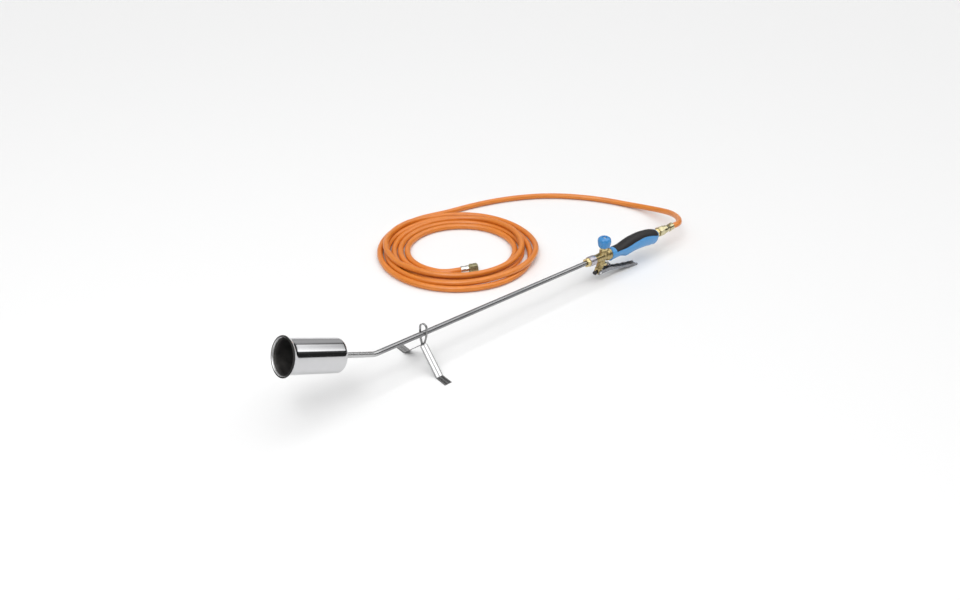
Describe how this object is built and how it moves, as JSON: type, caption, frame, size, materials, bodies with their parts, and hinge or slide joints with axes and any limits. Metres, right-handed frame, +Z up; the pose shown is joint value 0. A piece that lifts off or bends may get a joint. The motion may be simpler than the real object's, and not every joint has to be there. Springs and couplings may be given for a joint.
{
  "type": "propane torch",
  "caption": "Roofing torch: cup burner on a bent lance, valve with knob and squeeze lever, moulded handle, clip-on stand, and a coiled gas hose with a union nut.",
  "frame": {"origin": "on the ground, under the middle of the torch without its hose", "axes": "+X along the torch from the burner to the handle, +Y towards the coiled hose, +Z up"},
  "size_m": [1.1028, 0.5637, 0.1744],
  "materials": {
    "burner_shell": "polished stainless steel",
    "burner_inner": "heat-darkened sheet steel",
    "lance": "bright drawn steel tube",
    "stand": "bright zinc-plated spring strip",
    "coupling": "matt zinc-plated turned steel",
    "brass": "machined brass",
    "cast_brass": "hot-pressed brass, satin",
    "steel_small": "turned steel",
    "lever": "zinc-plated pressed sheet steel",
    "seal": "black, matt",
    "knob": "glossy blue moulding",
    "handle": "satin blue moulding",
    "grip": "soft matt black grip",
    "fitting": "yellow-passivated",
    "ferrule": "zinc-plated crimped steel",
    "end_nut": "dull brass",
    "hose": "orange, semi-gloss"
  },
  "bodies": {
    "torch": {"burner_shell": "burner_shell", "burner_back_plate": "burner_inner", "nozzle_body": "brass", "gas_jet": "brass", "flame_holder": "burner_inner", "lance_tube": "lance", "lance_gland_nut": "brass", "compression_olive": "brass", "coupling_sleeve": "coupling", "valve_body": "cast_brass", "packing_nut": "brass", "spindle_seal": "seal", "plunger_gland": "brass", "lever_pin": "steel_small", "pilot_screw": "seal", "handle_body": "handle", "grip_insert": "grip", "handle_gas_tube": "steel_small", "inlet_nipple": "brass", "hose_nut": "fitting", "hose_tail_piece": "fitting", "ear_clamp": "fitting", "hose_lead": "hose", "hose_coil": "hose", "hose_end_run": "hose", "end_ferrule": "ferrule", "end_nipple": "brass"},
    "lever": {"lever": "lever"},
    "plunger": {"valve_plunger": "steel_small", "plunger_spring": "steel_small"},
    "knob": {"regulating_knob": "knob", "knob_screw": "steel_small", "valve_spindle": "steel_small"},
    "stand": {"stand": "stand"},
    "end_nut": {"end_nut": "end_nut"}
  },
  "joints": [
    {"name": "lever_squeeze", "type": "hinge", "parent": "torch", "child": "lever", "pos_m": [0.27002, 0, 0.02415], "axis": [0, -1, 0], "range_deg": [0, 12.5], "stiffness_Nm_per_rad": 1.5, "springref_deg": -28.65},
    {"name": "plunger_slide", "type": "slide", "parent": "torch", "child": "plunger", "axis": [-0.9533, 0, 0.3019], "range_m": [0, 0.0042]},
    {"name": "knob_turn", "type": "hinge", "parent": "torch", "child": "knob", "pos_m": [0.28167, 0, 0.05894], "axis": [0.0187, 0, 0.9998], "range_deg": [0, 540]},
    {"name": "stand_slide", "type": "slide", "parent": "torch", "child": "stand", "axis": [0.9998, 0, -0.0187], "range_m": [-0.08, 0.35]},
    {"name": "end_nut_spin", "type": "hinge", "parent": "torch", "child": "end_nut", "pos_m": [0.08839, 0.2038, 0.0096], "axis": [0.9225, -0.3859, 0], "continuous": true}
  ],
  "couplings": [
    {"joint": "plunger_slide", "follows": "lever_squeeze", "m_per_rad": 0.01835}
  ]
}
